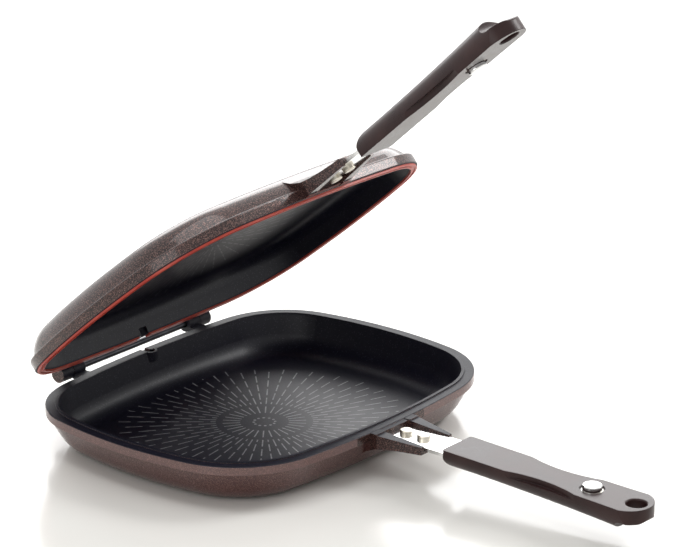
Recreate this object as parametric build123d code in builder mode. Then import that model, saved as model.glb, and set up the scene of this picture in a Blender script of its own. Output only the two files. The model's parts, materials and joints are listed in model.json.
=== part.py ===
from build123d import *
from math import atan2, cos, hypot, radians, sin, sqrt
import os

os.makedirs("parts", exist_ok=True)

# ---- driving dimensions, millimetres and degrees ----
half_width = 145.0          # outline reach along the hinge direction
half_depth = 115.0          # outline reach front and back
side_radius = 306.0         # bow of the left and right sides
back_radius = 830.0         # bow of the hinge side
front_radius = 644.0        # bow of the handle side
back_corner = 60.0
front_corner = 69.0

rim_height = 31.4           # ledge of the lower pan above its base
lid_depth = 24.0            # lid ledge to the lid's flat top
seam_gap = 1.4              # ledge to ledge when shut
open_angle = 39.9           # lid angle at rest

floor_thickness = 4.0
roof_thickness = 3.4
band_height = 6.0           # lower pan rim band
band_step = 1.4
wall_draft = 30.0
base_radius = 22.0
inner_draft = 14.0
floor_radius = 17.0
lip_inset = 6.9             # raised inner lip of the lower ledge
lip_width = 2.3
lip_height = 0.8
edge_round = 0.8

lid_band_height = 8.0
lid_step = 3.2
band_round = 1.3            # edge of the lid's band beside the crown
lid_draft = 28.0
crown_radius = 22.0
lid_inner_inset = 7.2
lid_inner_draft = 15.0
roof_radius = 14.0

gasket_inset = 1.4
gasket_width = 5.0
gasket_seat = 2.2           # groove depth in the lid ledge
gasket_clearance = 0.05     # gasket face to ledge when shut
rib_width = 1.6
vent_radius = 3.8
vent_reach = 7.6            # inset of both vents' centres
vent_depth = 4.0
vent_wall = 1.6             # wall of the boss round the lower vent
vent_boss = 6.5             # depth of that boss below the ledge
vent_slot_half = 2.6        # half width of the lower vent's way out over the ledge
vent_slot_depth = 1.6
lid_vent_depth = 5.0
gasket_break = 10.4         # gap in the gasket at the vent

hinge_reach = 8.9           # hinge axis behind the outline
knuckle_radius = 5.8
rod_diameter = 5.0
rod_clearance = 0.06        # radial, rod in the turning barrels
rod_end_gap = 1.0           # rod end to the outer face of the ear
barrel_start = 55.0
barrel_length = 11.0
knuckle_gap = 0.5
web_root = 6.0              # how far a knuckle's web reaches into the wall
ear_length = 11.0

bracket_root = 11.0         # how far the bracket reaches under the rim
bracket_length = 38.5
bracket_root_half = 22.5
bracket_end_half = 16.4
prong_drop = 0.6            # prong top below the ledge at its root
prong_end_drop = 3.0
pad_drop = 0.25
prong_end_floor = 8.5       # undersides of the prong below the ledge, from its end to its root
knee_at = 21.0
knee_floor = 9.1
haunch_at = 11.0
haunch_floor = 9.8
hollow_at = 3.0
hollow_floor = 11.2
heel_back = 5.0             # inside the outline
heel_floor = 14.7
root_floor = 19.0
gusset_length = 5.6
shank_width = 26.0
shank_thickness = 2.5
shank_drop = 3.9            # shank face below the ledge
shank_start = 3.8
shank_slack = 0.3
bracket_floor = 3.4         # metal under the shank
pad_length = 4.6
rivet_inset = (12.4, 27.4)
rivet_diameter = 5.0
rivet_head = 9.0
rivet_head_height = 2.7
rivet_round = 0.9
rivet_tail = 7.4
rivet_tail_height = 1.6

grip_start = 55.5           # grip root from the outline
grip_length = 159.5
grip_half = 16.0            # half width at the root, half way and at the tip
grip_middle_half = 15.7
grip_tip_half = 17.6
grip_depth = 15.4           # depth at the root, half way and at the tip
grip_middle_depth = 16.4
grip_tip_depth = 19.9
grip_face_drop = 0.25       # flat face below the ledge at its root
grip_slope = 0.03
grip_root_corner = 2.5
grip_tip_corner = 17.5
grip_heel = 9.0             # rounding under the root
tab_thickness = 9.8
tip_round = 2.6
hang_hole = 14.0
hang_from_tip = 10.6
scoop_from_tip = 21.5       # hollow behind the hang hole, from its ridge to the tip
scoop_radius = 10.5
magnet_from_tip = 46.3
magnet_diameter = 13.4
magnet_depth = 5.0
magnet_gap = 1.5            # each magnet face to the seam middle when shut
cup_wall = 0.7
cup_floor = 0.8
recess_diameter = 17.0
recess_depth = 0.8
hole_break = 45.0           # slope of the hang hole's broken edge
finger_from = 51.0
finger_from_tip = 45.0
finger_depth = 4.6
finger_height = 4.2
tang_width = 18.0
tang_length = 68.0
tang_shoulder = 14.0
key_hole = 6.0
key_places = (0.4, 0.75)    # shares of the tang's length
edge_soft = 0.6
cut_spare = 20.0            # extra reach of cutting shapes

# ---- derived ----
seam_mid = rim_height + seam_gap / 2
hinge_y = half_depth + hinge_reach
band_floor = rim_height - band_height
lid_base = rim_height - lid_depth
lid_band_floor = rim_height - lid_band_height
prong_top = rim_height - prong_drop
prong_end_top = rim_height - prong_end_drop
shank_top = rim_height - shank_drop
shank_under = shank_top - shank_thickness
bracket_under = shank_under - bracket_floor
channel_half = shank_width / 2 + shank_slack
gasket_proud = seam_gap - gasket_clearance
lip_inner = lip_inset + lip_width
barrel_bore = rod_diameter / 2 + rod_clearance
ear_from = barrel_start + barrel_length + knuckle_gap
ear_to = ear_from + ear_length
rod_reach = ear_to - rod_end_gap
front_y = -half_depth
hang_at = grip_length - hang_from_tip
magnet_at = grip_length - magnet_from_tip
finger_to = grip_length - finger_from_tip
cup_radius = magnet_diameter / 2 + cup_wall
heel_reach = grip_depth + edge_soft
scoop_at = grip_length - scoop_from_tip
root_corner_width = grip_tip_half - grip_half + grip_root_corner
magnet_proud = seam_mid - magnet_gap - rim_height + grip_face_drop + grip_slope * magnet_at
roof_level = lid_base + roof_thickness
arc_middle = 1 - sqrt(1 / 2)    # inset of a quarter arc's middle from its corner, per radius
heel_middle = grip_heel * arc_middle
tip_middle = tip_round * arc_middle
scoop_middle = scoop_radius * arc_middle

# lid frame: the lower pan's coordinates turned over and swung open about the hinge
hinge_point = Vector(0, hinge_y, seam_mid)
turn_over = Location((0, 0, 2 * seam_mid), (0, 1, 0), 180)
swing = Location(hinge_point, (1, 0, 0), -open_angle) * Location(-hinge_point)
lid_place = swing * turn_over

# grip frame: its flat face, falling slightly toward the tip
grip_along = Vector(0, -1, -grip_slope).normalized()
grip_up = Vector(0, -grip_slope, 1).normalized()
grip_origin = Vector(0, front_y - grip_start, rim_height - grip_face_drop)
face_plane = Plane(origin=grip_origin, x_dir=(1, 0, 0), z_dir=grip_up)
root_plane = Plane(origin=grip_origin, x_dir=(1, 0, 0), z_dir=grip_along)


def corner(bow, radius):
    """Centre of the corner arc in the positive quarter and its two contact directions."""
    ax, ay = 0.0, half_depth - bow
    bx, by = half_width - side_radius, 0.0
    ra, rb = bow - radius, side_radius - radius
    gap = hypot(bx - ax, by - ay)
    ex, ey = (bx - ax) / gap, (by - ay) / gap
    along = (gap**2 + ra**2 - rb**2) / (2 * gap)
    across = sqrt(ra**2 - along**2)
    cx, cy = ax + ex * along + ey * across, ay + ey * along - ex * across
    if cx < 0:
        cx, cy = ax + ex * along - ey * across, ay + ey * along + ex * across
    return cx, cy, atan2(cy - ay, cx - ax), atan2(cy - by, cx - bx)


def quarter(bow, radius, inset):
    """Side contact, corner middle and bow contact of one quarter."""
    cx, cy, bow_way, side_way = corner(bow, radius)
    mid_way = (bow_way + side_way) / 2
    side_r, bow_r, corner_r = side_radius - inset, bow - inset, radius - inset
    sx = half_width - side_radius
    by = half_depth - bow
    side_touch = (sx + side_r * cos(side_way), side_r * sin(side_way))
    bow_touch = (bow_r * cos(bow_way), by + bow_r * sin(bow_way))
    middle = (cx + corner_r * cos(mid_way), cy + corner_r * sin(mid_way))
    return side_touch, middle, bow_touch


def outline(inset, mode=Mode.ADD):
    """Pan outline moved inward by inset, drawn as eight touching arcs."""
    b_side, b_mid, b_bow = quarter(back_radius, back_corner, inset)
    f_side, f_mid, f_bow = quarter(front_radius, front_corner, inset)
    reach_x = half_width - inset
    reach_y = half_depth - inset
    with BuildLine() as rim:
        for way in (1, -1):
            side_back = (way * b_side[0], b_side[1])
            side_front = (way * f_side[0], -f_side[1])
            ThreePointArc(side_front, (way * reach_x, 0), side_back)
            ThreePointArc(side_back, (way * b_mid[0], b_mid[1]), (way * b_bow[0], b_bow[1]))
            ThreePointArc(side_front, (way * f_mid[0], -f_mid[1]), (way * f_bow[0], -f_bow[1]))
        ThreePointArc(b_bow, (0, reach_y), (-b_bow[0], b_bow[1]))
        ThreePointArc((f_bow[0], -f_bow[1]), (0, -reach_y), (-f_bow[0], -f_bow[1]))
    make_face(rim.edges(), mode=mode)


def broken_ring(inset, width):
    """Ring that follows the outline, open at the vent."""
    outline(inset)
    outline(inset + width, Mode.SUBTRACT)
    with Locations((0, half_depth)):
        Rectangle(gasket_break, half_depth / 2, mode=Mode.SUBTRACT)


def grip_point(along, under=0.0):
    """Point in the YZ plane measured along the grip from its root and down from its flat face."""
    spot = grip_origin + grip_along * along - grip_up * under
    return spot.Y, spot.Z


def knuckle(web_top, web_floor):
    """Side view of a hinge knuckle with its web, in the plane across the hinge."""
    web_end = half_depth - web_root
    low_reach = knuckle_radius * sin(radians(wall_draft))
    low_drop = knuckle_radius * cos(radians(wall_draft))
    with BuildLine() as web:
        Polyline(
            (web_end, web_floor),
            (hinge_y - low_reach, seam_mid - low_drop),
            (hinge_y, seam_mid),
            (hinge_y - knuckle_radius * cos(radians(lid_inner_draft)), web_top),
            (web_end, web_top),
            close=True,
        )
    make_face(web.edges())
    with Locations((hinge_y, seam_mid)):
        Circle(knuckle_radius)


# ---- handle bracket form, shared by both castings ----
with BuildPart() as bracket:
    with BuildSketch(Plane.YZ) as bracket_side:
        with BuildLine():
            Polyline(
                (front_y + bracket_root, prong_top),
                (front_y + bracket_root, rim_height - root_floor),
                (front_y + heel_back, rim_height - heel_floor),
                (front_y - hollow_at, rim_height - hollow_floor),
                (front_y - haunch_at, rim_height - haunch_floor),
                (front_y - knee_at, rim_height - knee_floor),
                (front_y - bracket_length, rim_height - prong_end_floor),
                (front_y - bracket_length, prong_end_top),
                (front_y, prong_top),
                close=True,
            )
        make_face()
    extrude(amount=bracket_root_half, both=True)
    with BuildSketch(Plane.YZ):
        with BuildLine():
            Polyline(
                (front_y + heel_back, shank_top),
                (front_y + heel_back, rim_height - heel_floor),
                (front_y - gusset_length, bracket_under),
                (front_y - bracket_length + bracket_floor, bracket_under),
                (front_y - bracket_length, shank_under),
                (front_y - bracket_length, shank_top),
                close=True,
            )
        make_face()
    extrude(amount=channel_half - edge_round, both=True)
    with BuildSketch(Plane.XY.offset(prong_top)):
        with BuildLine():
            Polyline(
                (bracket_root_half, front_y + bracket_root),
                (bracket_root_half, front_y - pad_length),
                (bracket_end_half, front_y - bracket_length),
                (-bracket_end_half, front_y - bracket_length),
                (-bracket_root_half, front_y - pad_length),
                (-bracket_root_half, front_y + bracket_root),
                close=True,
            )
        make_face()
    extrude(amount=-rim_height, mode=Mode.INTERSECT)
    with BuildSketch(Plane.XY.offset(shank_top)):
        for way in (1, -1):
            with Locations((way * (channel_half + bracket_root_half) / 2, front_y)):
                Rectangle(bracket_root_half - channel_half, 2 * pad_length)
    extrude(amount=rim_height - pad_drop - shank_top)
    with BuildSketch(Plane.XY.offset(shank_under)) as channel:
        with Locations((0, front_y - shank_start - bracket_length / 2 + shank_slack / 2)):
            Rectangle(2 * channel_half, bracket_length + shank_slack)
    extrude(amount=rim_height, mode=Mode.SUBTRACT)
    with BuildSketch(Plane.XY.offset(shank_under)):
        with Locations(*[(0, front_y - inset) for inset in rivet_inset]):
            Circle(rivet_diameter / 2)
    extrude(amount=-rim_height, mode=Mode.SUBTRACT)

# ---- hollows of the two castings ----
with BuildPart() as pan_hollow_form:
    with BuildSketch(Plane.XY.offset(rim_height + lip_height)):
        outline(lip_inner)
    extrude(amount=floor_thickness - rim_height - lip_height, taper=inner_draft)
    fillet(pan_hollow_form.edges().group_by(Axis.Z)[0], radius=floor_radius)

with BuildPart() as lid_hollow_form:
    with BuildSketch(Plane.XY.offset(rim_height)):
        outline(lid_inner_inset)
    extrude(amount=roof_level - rim_height, taper=lid_inner_draft)
    fillet(lid_hollow_form.edges().group_by(Axis.Z)[0], radius=roof_radius)

# ---- lower pan ----
with BuildPart() as lower_pan:
    with BuildSketch(Plane.XY.offset(band_floor)):
        outline(band_step)
    extrude(amount=-band_floor, taper=wall_draft)
    fillet(lower_pan.edges().group_by(Axis.Z)[0], radius=base_radius)
    with BuildSketch(Plane.XY.offset(band_floor)):
        outline(0)
    extrude(amount=band_height)
    fillet(lower_pan.edges().group_by(Axis.Z)[-1], radius=edge_round)
    with BuildSketch(Plane.XY.offset(rim_height)):
        outline(lip_inset)
    extrude(amount=lip_height)
    add(bracket.part)
    for way in (1, -1):
        with BuildSketch(Plane.YZ.offset(way * (barrel_start + barrel_length / 2))):
            knuckle(rim_height - edge_round, band_floor)
        extrude(amount=barrel_length / 2, both=True)
    add(pan_hollow_form.part, mode=Mode.SUBTRACT)
    # vent in a round boss on the lip, with a shallow way out over the ledge
    with BuildSketch(Plane.XY.offset(rim_height + lip_height)):
        with Locations((0, half_depth - vent_reach)):
            Circle(vent_radius + vent_wall)
        with Locations((0, half_depth - lip_inset + hinge_reach)):
            Rectangle(2 * vent_radius + cut_spare, 2 * hinge_reach, mode=Mode.SUBTRACT)
    extrude(amount=-vent_boss - lip_height)
    with BuildSketch(Plane.XY.offset(rim_height + lip_height)):
        with Locations((0, half_depth - vent_reach)):
            Circle(vent_radius)
    extrude(amount=-vent_depth - lip_height, mode=Mode.SUBTRACT)
    with BuildSketch(Plane.XY.offset(rim_height + lip_height)):
        with Locations((0, half_depth - vent_reach + hinge_reach / 2)):
            Rectangle(2 * vent_slot_half, hinge_reach)
    extrude(amount=-vent_slot_depth - lip_height, mode=Mode.SUBTRACT)
    for way in (1, -1):
        with BuildSketch(Plane.YZ.offset(way * (barrel_start + barrel_length / 2))):
            with Locations((hinge_y, seam_mid)):
                Circle(barrel_bore)
        extrude(amount=barrel_length, both=True, mode=Mode.SUBTRACT)
lower_pan.part.label = "lower_pan"
export_step(lower_pan.part, "parts/lower_pan.step")

# ---- lower shank, rivets, grip, magnet and cup ----
with BuildPart() as lower_shank:
    with BuildSketch(Plane.XY.offset(shank_under)) as shank_plan:
        with BuildLine():
            Polyline(
                (shank_width / 2, front_y - shank_start),
                (shank_width / 2, front_y - grip_start),
                (tang_width / 2, front_y - grip_start - tang_shoulder / 2),
                (tang_width / 2, front_y - grip_start - tang_length),
                (-tang_width / 2, front_y - grip_start - tang_length),
                (-tang_width / 2, front_y - grip_start - tang_shoulder / 2),
                (-shank_width / 2, front_y - grip_start),
                (-shank_width / 2, front_y - shank_start),
                close=True,
            )
        make_face()
        with Locations(*[(0, front_y - inset) for inset in rivet_inset]):
            Circle(rivet_diameter / 2, mode=Mode.SUBTRACT)
        with Locations(*[(0, front_y - grip_start - tang_length * share) for share in key_places]):
            Circle(key_hole / 2, mode=Mode.SUBTRACT)
    extrude(amount=shank_thickness)
lower_shank.part.label = "lower_shank"
export_step(lower_shank.part, "parts/lower_shank.step")

with BuildPart() as lower_rivets:
    with BuildSketch(Plane.XY.offset(bracket_under)):
        with Locations(*[(0, front_y - inset) for inset in rivet_inset]):
            Circle(rivet_diameter / 2)
    extrude(amount=shank_top - bracket_under)
    with BuildSketch(Plane.XY.offset(shank_top)):
        with Locations(*[(0, front_y - inset) for inset in rivet_inset]):
            Circle(rivet_head / 2)
    extrude(amount=rivet_head_height)
    fillet(lower_rivets.edges().group_by(Axis.Z)[-1], radius=rivet_round)
    with BuildSketch(Plane.XY.offset(bracket_under)):
        with Locations(*[(0, front_y - inset) for inset in rivet_inset]):
            Circle(rivet_tail / 2)
    extrude(amount=-rivet_tail_height)
    fillet(lower_rivets.edges().group_by(Axis.Z)[0], radius=edge_soft)
lower_rivets.part.label = "lower_rivets"
export_step(lower_rivets.part, "parts/lower_rivets.step")

with BuildPart() as lower_grip:
    # half-round bar under the flat face
    with BuildSketch(root_plane):
        Ellipse(grip_half, grip_depth)
    with BuildSketch(root_plane.offset(grip_length / 2)):
        Ellipse(grip_middle_half, grip_middle_depth)
    with BuildSketch(root_plane.offset(grip_length)):
        Ellipse(grip_tip_half, grip_tip_depth)
    loft()
    with BuildSketch(face_plane):
        with Locations((0, -grip_length / 2)):
            Rectangle(2 * grip_tip_half + cut_spare, grip_length + cut_spare)
    extrude(amount=2 * grip_tip_depth, mode=Mode.SUBTRACT)
    # plan shape with rounded tip and root corners
    with BuildSketch(face_plane) as grip_plan:
        with Locations((0, -grip_length / 2)):
            Rectangle(2 * grip_tip_half, grip_length)
        fillet(grip_plan.vertices().group_by(Axis.Y)[0], radius=grip_tip_corner)
        for way in (1, -1):
            with Locations((way * (grip_tip_half + grip_half - grip_root_corner) / 2, 0)):
                Rectangle(root_corner_width, 2 * grip_root_corner, mode=Mode.SUBTRACT)
            with Locations((way * (grip_half - grip_root_corner), -grip_root_corner)):
                Circle(grip_root_corner)
    extrude(amount=-2 * grip_tip_depth, mode=Mode.INTERSECT)
    # side shape with rounded heel and tip, and the hollow behind the hang hole
    with BuildSketch(Plane.YZ.offset(-2 * grip_tip_half)) as grip_side:
        with BuildLine():
            Polyline(
                grip_point(0, -grip_depth),
                grip_point(grip_length + cut_spare, -grip_depth),
                grip_point(grip_length + cut_spare, tab_thickness - tip_round),
                grip_point(grip_length, tab_thickness - tip_round),
            )
            ThreePointArc(
                grip_point(grip_length, tab_thickness - tip_round),
                grip_point(grip_length - tip_middle, tab_thickness - tip_middle),
                grip_point(grip_length - tip_round, tab_thickness),
            )
            Line(
                grip_point(grip_length - tip_round, tab_thickness),
                grip_point(scoop_at + scoop_radius, tab_thickness),
            )
            ThreePointArc(
                grip_point(scoop_at + scoop_radius, tab_thickness),
                grip_point(scoop_at + scoop_middle, tab_thickness + scoop_middle),
                grip_point(scoop_at, tab_thickness + scoop_radius),
            )
            Polyline(
                grip_point(scoop_at, tab_thickness + scoop_radius),
                grip_point(scoop_at, 2 * grip_tip_depth),
                grip_point(grip_heel, 2 * grip_tip_depth),
                grip_point(grip_heel, heel_reach),
            )
            ThreePointArc(
                grip_point(grip_heel, heel_reach),
                grip_point(heel_middle, heel_reach - heel_middle),
                grip_point(0, heel_reach - grip_heel),
            )
            Line(grip_point(0, heel_reach - grip_heel), grip_point(0, -grip_depth))
        make_face()
    extrude(amount=4 * grip_tip_half, mode=Mode.INTERSECT)
    with BuildSketch(face_plane):
        with Locations((0, -hang_at)):
            Circle(hang_hole / 2)
    extrude(amount=-2 * grip_tip_depth, mode=Mode.SUBTRACT)
    # finger grooves along both edges of the flat face
    with BuildSketch(face_plane) as grooves:
        for way in (1, -1):
            with BuildLine():
                ThreePointArc(
                    (way * grip_half, -finger_from),
                    (way * (grip_half - finger_depth), -(finger_from + finger_to) / 2),
                    (way * grip_tip_half, -finger_to),
                )
                Line((way * grip_tip_half, -finger_to), (way * 2 * grip_half, -finger_to))
                Line((way * 2 * grip_half, -finger_to), (way * 2 * grip_half, -finger_from))
                Line((way * 2 * grip_half, -finger_from), (way * grip_half, -finger_from))
            make_face()
    extrude(amount=-finger_height, mode=Mode.SUBTRACT)
    # broken edge of the hang hole
    with BuildSketch(face_plane):
        with Locations((0, -hang_at)):
            Circle(hang_hole / 2 + edge_round)
    extrude(amount=-edge_round, taper=hole_break, mode=Mode.SUBTRACT)
    # magnet pocket with its shallow ring
    with BuildSketch(face_plane):
        with Locations((0, -magnet_at)):
            Circle(recess_diameter / 2)
    extrude(amount=-recess_depth, mode=Mode.SUBTRACT)
    with BuildSketch(face_plane):
        with Locations((0, -magnet_at)):
            Circle(cup_radius)
    extrude(amount=-magnet_depth - cup_floor, mode=Mode.SUBTRACT)
    # slot and keys round the shank's tang
    add(lower_shank.part, mode=Mode.SUBTRACT)
lower_grip.part.label = "lower_grip"
export_step(lower_grip.part, "parts/lower_grip.step")

with BuildPart() as lower_magnet_cup:
    with BuildSketch(face_plane.offset(-magnet_depth - cup_floor)):
        with Locations((0, -magnet_at)):
            Circle(cup_radius)
    extrude(amount=magnet_depth + cup_floor - recess_depth)
    with BuildSketch(face_plane.offset(-magnet_depth)):
        with Locations((0, -magnet_at)):
            Circle(magnet_diameter / 2)
    extrude(amount=2 * magnet_depth, mode=Mode.SUBTRACT)
lower_magnet_cup.part.label = "lower_magnet_cup"
export_step(lower_magnet_cup.part, "parts/lower_magnet_cup.step")

with BuildPart() as lower_magnet:
    with BuildSketch(face_plane.offset(-magnet_depth)):
        with Locations((0, -magnet_at)):
            Circle(magnet_diameter / 2)
    extrude(amount=magnet_depth + magnet_proud)
    chamfer(lower_magnet.edges().sort_by(Axis.Z)[-1], length=edge_soft)
lower_magnet.part.label = "lower_magnet"
export_step(lower_magnet.part, "parts/lower_magnet.step")

# ---- upper shank, rivets, grip, magnet and cup: the lower ones turned over with the lid ----
with BuildPart() as upper_shank:
    add(lower_shank.part.moved(lid_place))
upper_shank.part.label = "upper_shank"
export_step(upper_shank.part, "parts/upper_shank.step")

with BuildPart() as upper_rivets:
    add(lower_rivets.part.moved(lid_place))
upper_rivets.part.label = "upper_rivets"
export_step(upper_rivets.part, "parts/upper_rivets.step")

with BuildPart() as upper_grip:
    add(lower_grip.part.moved(lid_place))
upper_grip.part.label = "upper_grip"
export_step(upper_grip.part, "parts/upper_grip.step")

with BuildPart() as upper_magnet_cup:
    add(lower_magnet_cup.part.moved(lid_place))
upper_magnet_cup.part.label = "upper_magnet_cup"
export_step(upper_magnet_cup.part, "parts/upper_magnet_cup.step")

with BuildPart() as upper_magnet:
    add(lower_magnet.part.moved(lid_place))
upper_magnet.part.label = "upper_magnet"
export_step(upper_magnet.part, "parts/upper_magnet.step")

# ---- upper pan, shaped in the lower pan's coordinates and turned into place ----
with BuildPart() as lid_band:
    with BuildSketch(Plane.XY.offset(lid_band_floor)):
        outline(0)
    extrude(amount=lid_band_height)
    fillet(lid_band.edges().group_by(Axis.Z)[0], radius=band_round)
    fillet(lid_band.edges().group_by(Axis.Z)[-1], radius=edge_round)

with BuildPart() as lid_form:
    with BuildSketch(Plane.XY.offset(lid_band_floor)):
        outline(lid_step)
    extrude(amount=lid_base - lid_band_floor, taper=lid_draft)
    fillet(lid_form.edges().group_by(Axis.Z)[0], radius=crown_radius)
    add(lid_band.part)
    add(bracket.part)
    add(lid_hollow_form.part, mode=Mode.SUBTRACT)
    for way in (1, -1):
        with BuildSketch(Plane.YZ.offset(way * ear_from)):
            knuckle(rim_height - edge_round, lid_band_floor)
        extrude(amount=way * ear_length)
    # rod bore, blind in the left ear and open at the right one (turned over here)
    with BuildSketch(Plane.YZ.offset(rod_reach)):
        with Locations((hinge_y, seam_mid)):
            Circle(rod_diameter / 2)
    extrude(amount=-rod_reach - ear_to, mode=Mode.SUBTRACT)
    # gasket groove, stopped either side of the vent
    with BuildSketch(Plane.XY.offset(rim_height)) as groove:
        broken_ring(gasket_inset, gasket_width)
    extrude(amount=-gasket_seat, mode=Mode.SUBTRACT)
    with BuildSketch(Plane.XY.offset(rim_height)):
        with Locations((0, half_depth - vent_reach)):
            Circle(vent_radius)
    extrude(amount=-lid_vent_depth, mode=Mode.SUBTRACT)

with BuildPart() as upper_pan:
    add(lid_form.part.moved(lid_place))
upper_pan.part.label = "upper_pan"
export_step(upper_pan.part, "parts/upper_pan.step")

# ---- gasket: a seat strip with two ribs ----
with BuildPart() as gasket_form:
    with BuildSketch(Plane.XY.offset(rim_height - gasket_seat)):
        broken_ring(gasket_inset, gasket_width)
    extrude(amount=gasket_seat + gasket_proud / 2)
    with BuildSketch(Plane.XY.offset(rim_height)):
        broken_ring(gasket_inset, rib_width)
        broken_ring(gasket_inset + gasket_width - rib_width, rib_width)
    extrude(amount=gasket_proud)

with BuildPart() as gasket:
    add(gasket_form.part.moved(lid_place))
gasket.part.label = "gasket"
export_step(gasket.part, "parts/gasket.step")

# ---- hinge rod through both barrels, fixed in the lid's ears ----
with BuildPart() as hinge_rod:
    with BuildSketch(Plane.YZ.offset(-rod_reach)):
        with Locations((hinge_y, seam_mid)):
            Circle(rod_diameter / 2)
    extrude(amount=2 * rod_reach)
    chamfer(hinge_rod.edges().group_by(Axis.X)[0], length=edge_soft)
    chamfer(hinge_rod.edges().group_by(Axis.X)[-1], length=edge_soft)
hinge_rod.part.label = "hinge_rod"
export_step(hinge_rod.part, "parts/hinge_rod.step")
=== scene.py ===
import json
import math

import bpy
from mathutils import Matrix, Vector

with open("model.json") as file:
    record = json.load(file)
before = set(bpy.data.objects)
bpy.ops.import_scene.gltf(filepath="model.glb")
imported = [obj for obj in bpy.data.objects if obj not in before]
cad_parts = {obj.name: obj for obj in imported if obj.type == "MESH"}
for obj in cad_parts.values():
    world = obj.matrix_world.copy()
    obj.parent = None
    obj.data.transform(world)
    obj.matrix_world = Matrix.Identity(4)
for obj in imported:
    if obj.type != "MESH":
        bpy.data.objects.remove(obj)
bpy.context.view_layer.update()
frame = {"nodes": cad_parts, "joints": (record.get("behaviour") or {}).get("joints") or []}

nodes = frame["nodes"]
mm = 0.001

hinge = frame["joints"][0]
hingePoint = Vector(hinge["pos_m"])
shutAngle = math.radians(-hinge["range_deg"][0])

# The lid's own coordinates: swung shut about the hinge, then turned over like the lower pan.
toHinge = Matrix.Translation(hingePoint)
swingBack = toHinge @ Matrix.Rotation(shutAngle, 4, "X") @ toHinge.inverted()
turnOver = Matrix.Translation((0, 0, 2 * hingePoint.z)) @ Matrix.Rotation(math.pi, 4, "Y")
lidToShut = turnOver @ swingBack
panToShut = Matrix.Identity(4)


# One socket that Python arithmetic works on. Each operation adds a Math node.
class Signal:
    def __init__(self, recipe, socket):
        self.recipe = recipe
        self.socket = socket

    def math(self, operation, *values):
        sockets = dict(enumerate(values))
        return self.recipe.add("ShaderNodeMath", {"operation": operation}, sockets)

    def __add__(self, other):
        return self.math("ADD", self, other)

    def __sub__(self, other):
        return self.math("SUBTRACT", self, other)

    def __rsub__(self, other):
        return self.math("SUBTRACT", other, self)

    def __mul__(self, other):
        return self.math("MULTIPLY", self, other)

    def __truediv__(self, other):
        return self.math("DIVIDE", self, other)

    def __pow__(self, other):
        return self.math("POWER", self, other)

    def __mod__(self, other):
        return self.math("FLOORED_MODULO", self, other)

    def __abs__(self):
        return self.math("ABSOLUTE", self)

    def __gt__(self, other):
        return self.math("GREATER_THAN", self, other)

    def __lt__(self, other):
        return self.math("LESS_THAN", self, other)

    def __or__(self, other):
        return self.math("MAXIMUM", self, other)

    def __invert__(self):
        return 1 - self

    __radd__ = __add__
    __rmul__ = __mul__

    def floor(self):
        return self.math("FLOOR", self)

    def step(self, low, high):  # soft step from 0 at low to 1 at high
        settings = {"interpolation_type": "SMOOTHSTEP"}
        sockets = {"Value": self, "From Min": low, "From Max": high}
        return self.recipe.add("ShaderNodeMapRange", settings, sockets)


class Recipe:
    def __init__(self, name, world=False):
        self.material = (bpy.data.worlds if world else bpy.data.materials).new(name)
        self.material.use_nodes = True
        self.tree = self.material.node_tree
        self.tree.nodes.clear()

    # Any node: its type, its settings, then the values or links of its sockets.
    def add(self, kind, settings=None, sockets=None, out=0):
        node = self.tree.nodes.new(kind)
        for key, value in (settings or {}).items():
            setattr(node, key, value)
        for key, value in (sockets or {}).items():
            if isinstance(value, Signal):
                self.tree.links.new(value.socket, node.inputs[key])
            else:
                node.inputs[key].default_value = value
        return Signal(self, node.outputs[out])

    def place(self):
        return self.add("ShaderNodeTexCoord", out="Object")

    def facing(self):
        return self.add("ShaderNodeTexCoord", out="Normal")

    def moved(self, vector, matrix, kind="POINT"):
        spot, turn, _ = matrix.decompose()
        sockets = {"Vector": vector, "Rotation": turn.to_euler()}
        if kind == "POINT":
            sockets["Location"] = spot
        return self.add("ShaderNodeMapping", {"vector_type": kind}, sockets)

    def split(self, vector):
        parts = self.add("ShaderNodeSeparateXYZ", sockets={"Vector": vector}).socket.node
        return [Signal(self, parts.outputs[axis]) for axis in "XYZ"]

    def stretched(self, vector, scale):
        settings = {"operation": "MULTIPLY"}
        return self.add("ShaderNodeVectorMath", settings, {0: vector, 1: scale})

    def noise(self, vector, size, detail=2.0, roughness=0.5):
        sockets = {"Vector": vector, "Scale": 1 / size, "Detail": detail, "Roughness": roughness}
        return self.add("ShaderNodeTexNoise", sockets=sockets)

    # A random number for each grain of the given size.
    def grains(self, vector, size):
        sockets = {"Vector": vector, "Scale": 1 / size}
        colour = self.add("ShaderNodeTexVoronoi", sockets=sockets, out="Color")
        return self.split(colour)[0]

    def blend(self, mask, first, second):
        sockets = {"Factor": mask, 6: first, 7: second}
        return self.add("ShaderNodeMix", {"data_type": "RGBA"}, sockets, out=2)

    def mix(self, mask, first, second):
        return first + mask * (second - first)

    def rounded(self, radius, samples):
        return self.add("ShaderNodeBevel", {"samples": samples}, {"Radius": radius})

    def bump(self, height, depth, under=None):
        sockets = {"Height": height, "Distance": depth, "Strength": 1.0}
        if under:
            sockets["Normal"] = under
        return self.add("ShaderNodeBump", sockets=sockets, out="Normal")

    # 1 for what the camera sees directly, mirrored or through glass, 0 for light on the object.
    def seen(self):
        path = self.add("ShaderNodeLightPath").socket.node
        names = ("Is Camera Ray", "Is Glossy Ray", "Is Transmission Ray")
        direct, mirrored, through = [Signal(self, path.outputs[name]) for name in names]
        return direct | mirrored | through

    def surface(self, **sockets):
        named = {key.replace("_", " "): value for key, value in sockets.items()}
        return self.add("ShaderNodeBsdfPrincipled", sockets=named)

    def finish(self, shader, kind="ShaderNodeOutputMaterial"):
        end = self.tree.nodes.new(kind)
        self.tree.links.new(shader.socket, end.inputs["Surface"])
        return self.material


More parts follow.
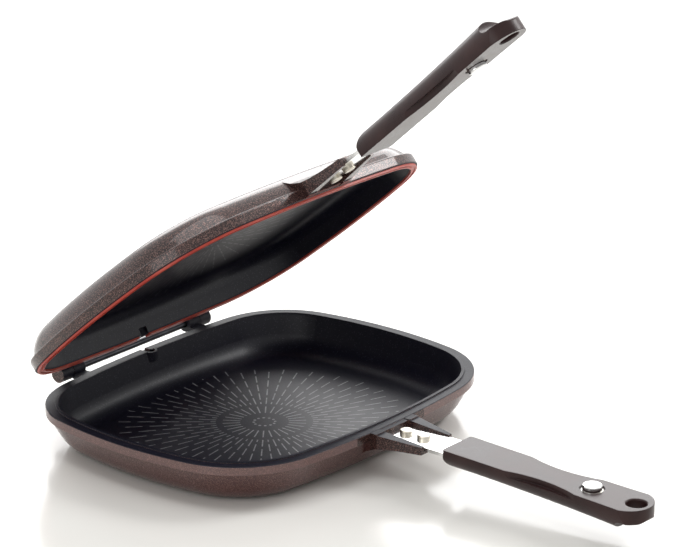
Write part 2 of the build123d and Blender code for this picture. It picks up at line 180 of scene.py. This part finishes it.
def shade(red, green, blue):  # a colour as a paint chart gives it, 0 to 255
    def line(part):
        part /= 255
        return part / 12.92 if part <= 0.04045 else ((part + 0.055) / 1.055) ** 2.4
    return (line(red), line(green), line(blue), 1)


def dress(names, material):
    for name in names:
        slots = nodes[name].material_slots
        if not slots:
            nodes[name].data.materials.append(material)
        for slot in slots:
            slot.material = material


print("stage 1: castings")

casting = {
    "halfDepth": 115 * mm,
    "rimHeight": 31.4 * mm,
    "bandHeight": 6.0 * mm,
    "lipStart": 0.1 * mm,         # the raised lip begins this far above the ledge
    "ledgeDepth": 1.0 * mm,       # the ledge's finish reaches this far below its face
    "bracketSkin": 1.0 * mm,      # brackets and knuckles begin this far inside the outline
    "hingeEnd": 77.2 * mm,        # hinge metal nearer the middle than this wears the black coat
    "inward": -4 * mm,            # a face looks inward when its normal dot its place is below this
    "upward": 0.5,                # and upward when its normal's height is above this
}
outerCoat = {
    "base": shade(38, 16, 15),
    "dark": shade(27, 11, 11),
    "driftSize": 30 * mm,
    "driftFade": (0.3, 0.7),      # from all dark to all base
    "flake": shade(168, 128, 118),
    "flakeSize": 0.42 * mm,
    "flakeShare": 0.28,
    "flakeTint": 0.7,
    "flakeMetal": 0.5,
    "glitterSize": 0.294 * mm,
    # painted light: a lighter brown for the pan's wall, standing in for the light it catches
    "wall": shade(94, 58, 56),
    # painted highlight: a pale colour on the pan's rim band, standing in for its sheen
    "band": shade(150, 128, 126),
    "roughness": 0.36,
    "specular": 0.2,
    "lacquer": 0.6,
    "lacquerRoughness": 0.08,
}
innerCoat = {
    "base": shade(12, 11, 25),
    "fleck": shade(60, 60, 72),
    "fleckSize": 0.6 * mm,
    "fleckShare": 0.06,
    "fleckTint": 0.5,
    "ledgeRoughness": 0.5,        # the ledges are duller than the hollows
    "print": shade(150, 150, 154),
    "printWorn": 0.6,             # share of the print's colour left where it is worn
    "wearSize": 2.5 * mm,
    "wearFade": (0.3, 0.6),
    "floorSkin": 0.4 * mm,
    "floorFacing": 0.9,
}
peel = {
    "depth": 0.045 * mm,
    "size": 1.1 * mm,
    "sizeShare": 0.6,
    "grit": 0.6 * mm,
    "softEdge": 0.5 * mm,
    "edgeSamples": 4,
    "cloudSize": 14 * mm,
    "cloudDepth": 0.08,           # change of roughness from place to place
}
dashes = {
    "spokes": 60,
    "firstRing": 17 * mm,
    "secondRing": 34 * mm,        # every other ray starts here
    "pitch": 17 * mm,
    "share": 0.72,
    "lastRing": 102 * mm,
    "line": 0.45 * mm,            # half width of one dash
    "dotRing": 7.5 * mm,
    "dots": 12,
    "dotSize": 1.0 * mm,
}
panCoat = {
    "toShut": panToShut,
    "floor": 4.0 * mm,
    "wallShare": 0.5,             # painted light: the pan's wall and rim band are painted lighter than the lid
    "bandShare": 0.26,
    "roughness": 0.4,
    "specular": 0.31,
    "printShare": 1.0,
}
lidCoat = {
    "toShut": lidToShut,
    "floor": 10.8 * mm,
    "wallShare": 0.0,
    "bandShare": 0.0,
    "roughness": 0.35,
    "specular": 0.36,
    "printShare": 0.55,           # the lid's print is fainter
}


# A generic print of short dashes on rays, round a small ring of dots.
def floorPrint(recipe, x, y):
    radius = (x * x + y * y) ** 0.5
    turn = recipe.add("ShaderNodeMath", {"operation": "ARCTAN2"}, {0: y, 1: x}) / (2 * math.pi)
    ray = turn * dashes["spokes"]
    odd = (ray.floor() % 2) > 0.5
    along = (radius - dashes["firstRing"]) / dashes["pitch"]
    dash = ((along + 0.5 * odd) % 1) < dashes["share"]
    across = abs(ray % 1 - 0.5) * radius * (2 * math.pi / dashes["spokes"])
    start = recipe.mix(odd, dashes["firstRing"], dashes["secondRing"])
    rays = (across < dashes["line"]) * dash * (radius > start) * (radius < dashes["lastRing"])
    dotPitch = 2 * math.pi * dashes["dotRing"] / dashes["dots"]
    dotAcross = abs((turn * dashes["dots"]) % 1 - 0.5) * dotPitch
    dotAlong = radius - dashes["dotRing"]
    dots = (dotAcross * dotAcross + dotAlong * dotAlong) < dashes["dotSize"] ** 2
    return rays | dots


# 1 where a casting wears the black coat, 0 where it wears the brown one.
def blackCoated(coat, inFront, x, y, z, nx, ny, nz):
    upward = nz > casting["upward"]
    onLip = z > casting["rimHeight"] + casting["lipStart"]
    inside = ((nx * x + ny * y) < casting["inward"]) | upward | onLip
    behind = y > casting["halfDepth"] - casting["bracketSkin"]
    atHinge = behind * (abs(x) < casting["hingeEnd"])
    if coat is lidCoat:
        return inside * ~inFront * ~behind | atHinge
    return inside * ~inFront | inFront * upward | atHinge


def castingFinish(name, coat):
    recipe = Recipe(name)
    place = recipe.place()
    x, y, z = recipe.split(recipe.moved(place, coat["toShut"]))
    nx, ny, nz = recipe.split(recipe.moved(recipe.facing(), coat["toShut"], "VECTOR"))
    inFront = y < casting["bracketSkin"] - casting["halfDepth"]
    cloud = (recipe.noise(place, peel["cloudSize"], 3) - 0.5) * peel["cloudDepth"]
    coarse = recipe.noise(place, peel["size"], 2) * peel["sizeShare"]
    fine = recipe.noise(place, peel["grit"], 1) * (1 - peel["sizeShare"])
    edge = recipe.rounded(peel["softEdge"], peel["edgeSamples"])
    normal = recipe.bump(coarse + fine, peel["depth"], edge)

    # outer coat: reddish brown with fine metal flakes under lacquer
    drift = recipe.noise(place, outerCoat["driftSize"], 3)
    flaked = recipe.grains(place, outerCoat["flakeSize"]) > 1 - outerCoat["flakeShare"]
    glitter = recipe.grains(place, outerCoat["glitterSize"]) * outerCoat["flakeTint"]
    onBand = z > casting["rimHeight"] - casting["bandHeight"]
    brown = recipe.blend(drift.step(*outerCoat["driftFade"]), outerCoat["dark"], outerCoat["base"])
    # painted light: the pan's wall is lightened for the light it catches
    brown = recipe.blend(~inFront * coat["wallShare"], brown, outerCoat["wall"])
    # painted highlight: the pan's rim band is lightened for its sheen
    brown = recipe.blend(onBand * ~inFront * coat["bandShare"], brown, outerCoat["band"])
    outer = recipe.surface(
        Base_Color=recipe.blend(flaked * glitter, brown, outerCoat["flake"]),
        Metallic=flaked * outerCoat["flakeMetal"],
        Roughness=outerCoat["roughness"] + cloud,
        Specular_IOR_Level=outerCoat["specular"],
        Coat_Weight=outerCoat["lacquer"],
        Coat_Roughness=outerCoat["lacquerRoughness"],
        Normal=normal,
    )

    # inner coat: black with faint flecks, and the print on the floor
    flecked = recipe.grains(place, innerCoat["fleckSize"]) > 1 - innerCoat["fleckShare"]
    onFloor = (z < coat["floor"] + innerCoat["floorSkin"]) * (nz > innerCoat["floorFacing"])
    fresh = recipe.noise(place, innerCoat["wearSize"], 3).step(*innerCoat["wearFade"])
    strength = recipe.mix(fresh, innerCoat["printWorn"], 1.0) * coat["printShare"]
    printed = floorPrint(recipe, x, y) * onFloor * strength
    black = recipe.blend(flecked * innerCoat["fleckTint"], innerCoat["base"], innerCoat["fleck"])
    onLedge = z > casting["rimHeight"] - casting["ledgeDepth"]
    inner = recipe.surface(
        Base_Color=recipe.blend(printed, black, innerCoat["print"]),
        Roughness=recipe.mix(onLedge, coat["roughness"], innerCoat["ledgeRoughness"]) + cloud,
        Specular_IOR_Level=coat["specular"],
        Normal=normal,
    )
    isBlack = blackCoated(coat, inFront, x, y, z, nx, ny, nz)
    both = recipe.add("ShaderNodeMixShader", sockets={0: isBlack, 1: outer, 2: inner})
    return recipe.finish(both)


dress(["lower_pan"], castingFinish("panCoat", panCoat))
dress(["upper_pan"], castingFinish("lidCoat", lidCoat))

print("stage 2: seal, steel and rivets")

seal = {
    "red": shade(176, 54, 40),
    "pale": shade(198, 82, 64),
    "cloudSize": 18 * mm,
    "cloudFade": (0.35, 0.7),
    "roughness": 0.42,
    "cloudDepth": 0.15,
    "dustSize": 0.5 * mm,
    "dustDepth": 0.02 * mm,
}


def sealFinish():
    recipe = Recipe("sealSilicone")
    place = recipe.place()
    cloud = recipe.noise(place, seal["cloudSize"], 3)
    dust = recipe.noise(place, seal["dustSize"], 2)
    surface = recipe.surface(
        Base_Color=recipe.blend(cloud.step(*seal["cloudFade"]), seal["red"], seal["pale"]),
        Roughness=seal["roughness"] + (cloud - 0.5) * seal["cloudDepth"],
        Normal=recipe.bump(dust, seal["dustDepth"]),
    )
    return recipe.finish(surface)


steel = {
    "bright": shade(244, 244, 243),
    "dull": shade(205, 205, 204),
    "nickel": shade(226, 220, 206),
    "nickelDull": shade(196, 188, 172),
    "rod": shade(92, 92, 96),
    "rodDull": shade(74, 74, 78),
    "cloudSize": 9 * mm,
    "cloudFade": (0.35, 0.65),
    "cloudDepth": 0.08,
    "lineDepth": 0.16,            # change of roughness from line to line
    "lineBump": 0.01 * mm,
}
lengthwise = (0.25 * mm, 14 * mm, 0.25 * mm)    # size of the brushed lines
crosswise = (14 * mm, 0.25 * mm, 0.25 * mm)
even = (0.6 * mm, 0.6 * mm, 0.6 * mm)


def brushedFinish(name, toShut, bright, dull, grain, roughness):
    recipe = Recipe(name)
    place = recipe.place()
    along = recipe.stretched(recipe.moved(place, toShut), [1 / size for size in grain])
    lines = recipe.noise(along, 1.0, detail=3, roughness=0.6)
    cloud = recipe.noise(place, steel["cloudSize"], 3)
    gloss = roughness + (lines - 0.5) * steel["lineDepth"] + (cloud - 0.5) * steel["cloudDepth"]
    surface = recipe.surface(
        Base_Color=recipe.blend(cloud.step(*steel["cloudFade"]), steel[bright], steel[dull]),
        Metallic=1.0,
        Roughness=gloss,
        Normal=recipe.bump(lines, steel["lineBump"]),
    )
    return recipe.finish(surface)


steelPieces = {
    # node ending: material, its two colours, its lines, roughness
    "_shank": ("ShankSteel", "bright", "dull", lengthwise, 0.13),
    "_rivets": ("RivetNickel", "nickel", "nickelDull", even, 0.34),
    "_magnet": ("MagnetPlate", "bright", "dull", even, 0.12),
    "_magnet_cup": ("CupSteel", "dull", "nickelDull", even, 0.3),
}
dress(["gasket"], sealFinish())
for side, toShut in (("lower", panToShut), ("upper", lidToShut)):
    for ending, (material, *look) in steelPieces.items():
        dress([side + ending], brushedFinish(side + material, toShut, *look))
dress(["hinge_rod"], brushedFinish("rodSteel", panToShut, "rod", "rodDull", crosswise, 0.3))

print("stage 3: grips")

resin = {
    "base": shade(58, 38, 37),
    "deep": shade(44, 28, 28),
    "cloudSize": 22 * mm,
    "cloudFade": (0.3, 0.7),
    "roughness": 0.3,
    "roughnessDepth": 0.1,
    "specular": 0.22,
    "polish": 0.2,                # extra gloss on the flat faces
    "polishRoughness": 0.22,
    "grainSize": 0.35 * mm,
    "dimpleSize": 1.6 * mm,
    "bump": 0.03 * mm,
    "softEdge": 0.9 * mm,
    "edgeSamples": 6,
    "flatFacing": Vector((0, -0.03, 1)).normalized(),
    "flatLeast": 0.98,
}


def resinFinish(name, toShut):
    recipe = Recipe(name)
    place = recipe.place()
    nx, ny, nz = recipe.split(recipe.moved(recipe.facing(), toShut, "VECTOR"))
    flat = (ny * resin["flatFacing"].y + nz * resin["flatFacing"].z) > resin["flatLeast"]
    cloud = recipe.noise(place, resin["cloudSize"], 4)
    grain = recipe.noise(place, resin["grainSize"], 2)
    dimple = recipe.noise(place, resin["dimpleSize"], 2)
    edge = recipe.rounded(resin["softEdge"], resin["edgeSamples"])
    surface = recipe.surface(
        Base_Color=recipe.blend(cloud.step(*resin["cloudFade"]), resin["deep"], resin["base"]),
        Roughness=resin["roughness"] + (cloud + grain - 1) * resin["roughnessDepth"],
        Specular_IOR_Level=resin["specular"],
        Coat_Weight=flat * resin["polish"],
        Coat_Roughness=resin["polishRoughness"],
        Normal=recipe.bump((grain + dimple) * 0.5, resin["bump"], edge),
    )
    return recipe.finish(surface)


dress(["lower_grip"], resinFinish("lowerGripResin", panToShut))
dress(["upper_grip"], resinFinish("upperGripResin", lidToShut))

print("stage 4: floor, lights and camera")

floorLook = {
    "size": 6.0,
    "colour": shade(248, 247, 243),
    "glow": (1, 1, 1, 1),
    "roughness": 0.16,
    "fadeFrom": 0.45,             # the floor turns into plain white light between these rings
    "fadeTo": 1.5,
}


def makeFloor():
    half = floorLook["size"] / 2
    mesh = bpy.data.meshes.new("floor")
    corners = [(-half, -half, 0), (half, -half, 0), (half, half, 0), (-half, half, 0)]
    mesh.from_pydata(corners, [], [(0, 1, 2, 3)])
    floor = bpy.data.objects.new("floor", mesh)
    bpy.context.scene.collection.objects.link(floor)
    recipe = Recipe("floorAcrylic")
    x, y, _ = recipe.split(recipe.place())
    away = (x * x + y * y) ** 0.5
    far = away.step(floorLook["fadeFrom"], floorLook["fadeTo"])
    surface = recipe.surface(Base_Color=floorLook["colour"], Roughness=floorLook["roughness"])
    glow = recipe.add("ShaderNodeEmission", sockets={"Color": floorLook["glow"], "Strength": 1.0})
    both = recipe.add("ShaderNodeMixShader", sockets={0: far * recipe.seen(), 1: surface, 2: glow})
    mesh.materials.append(recipe.finish(both))


studio = {
    "backdrop": 1.0,              # as the camera and mirrors see it
    "fill": 0.5,                  # as it lights the object
    "fillColour": (1, 0.985, 0.96, 1),
    "white": (1, 1, 1, 1),
}


def makeWorld():
    recipe = Recipe("studio", world=True)
    kind = "ShaderNodeBackground"
    fill = recipe.add(kind, sockets={"Color": studio["fillColour"], "Strength": studio["fill"]})
    back = recipe.add(kind, sockets={"Color": studio["white"], "Strength": studio["backdrop"]})
    both = recipe.add("ShaderNodeMixShader", sockets={0: recipe.seen(), 1: fill, 2: back})
    bpy.context.scene.world = recipe.finish(both, "ShaderNodeOutputWorld")


lamps = {
    # name: place, aim, width, height, brightness
    "overhead": ((0.0, 0.3, 1.9), (0, 0, 0.05), 1.5, 1.5, 2.3),
    "leftKey": ((-1.9, -0.3, 0.9), (0, 0, 0.1), 0.9, 1.2, 1.7),
    "backPanel": ((1.7, 1.35, 0.85), (0, 0, 0.1), 2.6, 1.0, 3.1),
    "rightBox": ((1.3, -0.68, 1.1), (0, 0, 0.05), 0.6, 0.6, 10.0),
}


def makeLamps():
    for name, (place, aim, width, height, brightness) in lamps.items():
        light = bpy.data.lights.new(name, "AREA")
        light.shape = "RECTANGLE"
        light.size = width
        light.size_y = height
        light.energy = brightness * math.pi * width * height
        lamp = bpy.data.objects.new(name, light)
        lamp.location = place
        lamp.visible_camera = False
        lamp.rotation_euler = (Vector(aim) - Vector(place)).to_track_quat("-Z", "Y").to_euler()
        bpy.context.scene.collection.objects.link(lamp)


view = {
    "azimuth": math.radians(-50.06),
    "elevation": math.radians(19.53),
    "roll": math.radians(0.38),
    "distance": 2.7419,
    "target": Vector((0.00802, -0.07013, 0.12707)),
    "lens": 209.1,
    "sensor": 36.0,
    "clipEnd": 50.0,
}


def makeCamera():
    data = bpy.data.cameras.new("camera")
    data.lens = view["lens"]
    data.sensor_width = view["sensor"]
    data.sensor_fit = "HORIZONTAL"
    data.clip_end = view["clipEnd"]
    camera = bpy.data.objects.new("camera", data)
    turn, rise, roll = view["azimuth"], view["elevation"], view["roll"]
    right = Vector((math.cos(turn), math.sin(turn), 0))
    level = Vector((math.sin(turn), -math.cos(turn), 0))
    back = math.cos(rise) * level + Vector((0, 0, math.sin(rise)))
    up = back.cross(right)
    rolledRight = math.cos(roll) * right - math.sin(roll) * up
    rolledUp = math.sin(roll) * right + math.cos(roll) * up
    axes = Matrix((rolledRight, rolledUp, back)).transposed().to_4x4()
    camera.matrix_world = Matrix.Translation(view["target"] + back * view["distance"]) @ axes
    bpy.context.scene.collection.objects.link(camera)
    bpy.context.scene.camera = camera


makeFloor()
makeWorld()
makeLamps()
makeCamera()
bpy.context.scene.view_settings.view_transform = "Standard"

print("stage 5: scene built")
